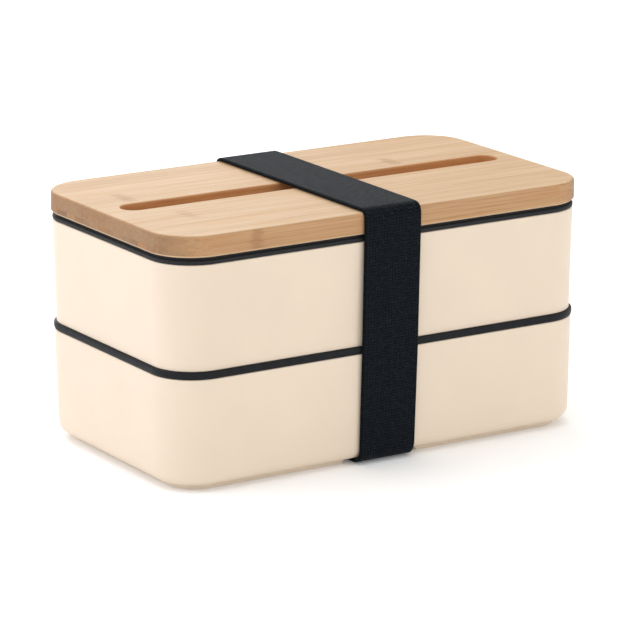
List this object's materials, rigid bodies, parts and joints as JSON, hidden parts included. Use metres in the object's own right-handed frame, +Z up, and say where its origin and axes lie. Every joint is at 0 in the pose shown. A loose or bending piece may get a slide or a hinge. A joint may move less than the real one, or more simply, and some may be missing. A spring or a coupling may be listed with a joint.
{
  "type": "bento lunch box",
  "caption": "Two-tier rectangular bento lunch box: stacked trays with a sealed lid between them, a bamboo lid with a phone groove, and an elastic strap round the middle.",
  "frame": {"origin": "under the middle of the box, on the plane that the foot rim stands on", "axes": "+X along the length and the phone groove, -Y out of the long front face, +Z up through the bamboo lid"},
  "size_m": [0.19, 0.1122, 0.1014],
  "materials": {
    "tray_plastic": "matte moulded polypropylene, cream",
    "cutlery_plastic": "satin moulded polypropylene, cream",
    "black_plastic": "satin moulded polypropylene, black",
    "seal_rubber": "matte silicone, black",
    "bamboo": "sanded bamboo with a matte oil finish",
    "webbing": "woven elastic webbing, blue-black",
    "thread": "polyester sewing thread, black"
  },
  "bodies": {
    "lower_tray": {"lower_tray": "tray_plastic"},
    "tier_lid": {"tier_lid": "black_plastic", "tier_lid_seal": "seal_rubber"},
    "upper_tray": {"upper_tray": "tray_plastic"},
    "bamboo_lid": {"bamboo_lid": "bamboo", "lid_seal": "seal_rubber"},
    "divider": {"divider": "tray_plastic"},
    "fork": {"fork": "cutlery_plastic"},
    "spoon": {"spoon": "cutlery_plastic"},
    "knife": {"knife": "cutlery_plastic"},
    "strap": {"strap": "webbing", "strap_stitching": "thread"}
  },
  "joints": [
    {"name": "tier_lid_lift", "type": "slide", "parent": "lower_tray", "child": "tier_lid", "axis": [0, 0, 1], "range_m": [0, 0.075]},
    {"name": "upper_tray_lift", "type": "slide", "parent": "tier_lid", "child": "upper_tray", "axis": [0, 0, 1], "range_m": [0, 0.065]},
    {"name": "bamboo_lid_lift", "type": "slide", "parent": "upper_tray", "child": "bamboo_lid", "axis": [0, 0, 1], "range_m": [0, 0.05]},
    {"name": "divider_slide", "type": "slide", "parent": "upper_tray", "child": "divider", "axis": [1, 0, 0], "range_m": [-0.08, 0.04]},
    {"name": "fork_lift", "type": "slide", "parent": "tier_lid", "child": "fork", "axis": [0, 0, 1], "range_m": [0, 0.0325]},
    {"name": "spoon_lift", "type": "slide", "parent": "tier_lid", "child": "spoon", "axis": [0, 0, 1], "range_m": [0, 0.0325]},
    {"name": "knife_lift", "type": "slide", "parent": "tier_lid", "child": "knife", "axis": [0, 0, 1], "range_m": [0, 0.0325]},
    {"name": "strap_off", "type": "slide", "parent": "lower_tray", "child": "strap", "axis": [1, 0, 0], "range_m": [0, 0.125], "deforming": ["strap", "strap_stitching"]}
  ],
  "couplings": [
    {"joint": "fork_lift", "follows": "upper_tray_lift", "ratio": 0.5},
    {"joint": "spoon_lift", "follows": "upper_tray_lift", "ratio": 0.5},
    {"joint": "knife_lift", "follows": "upper_tray_lift", "ratio": 0.5}
  ]
}
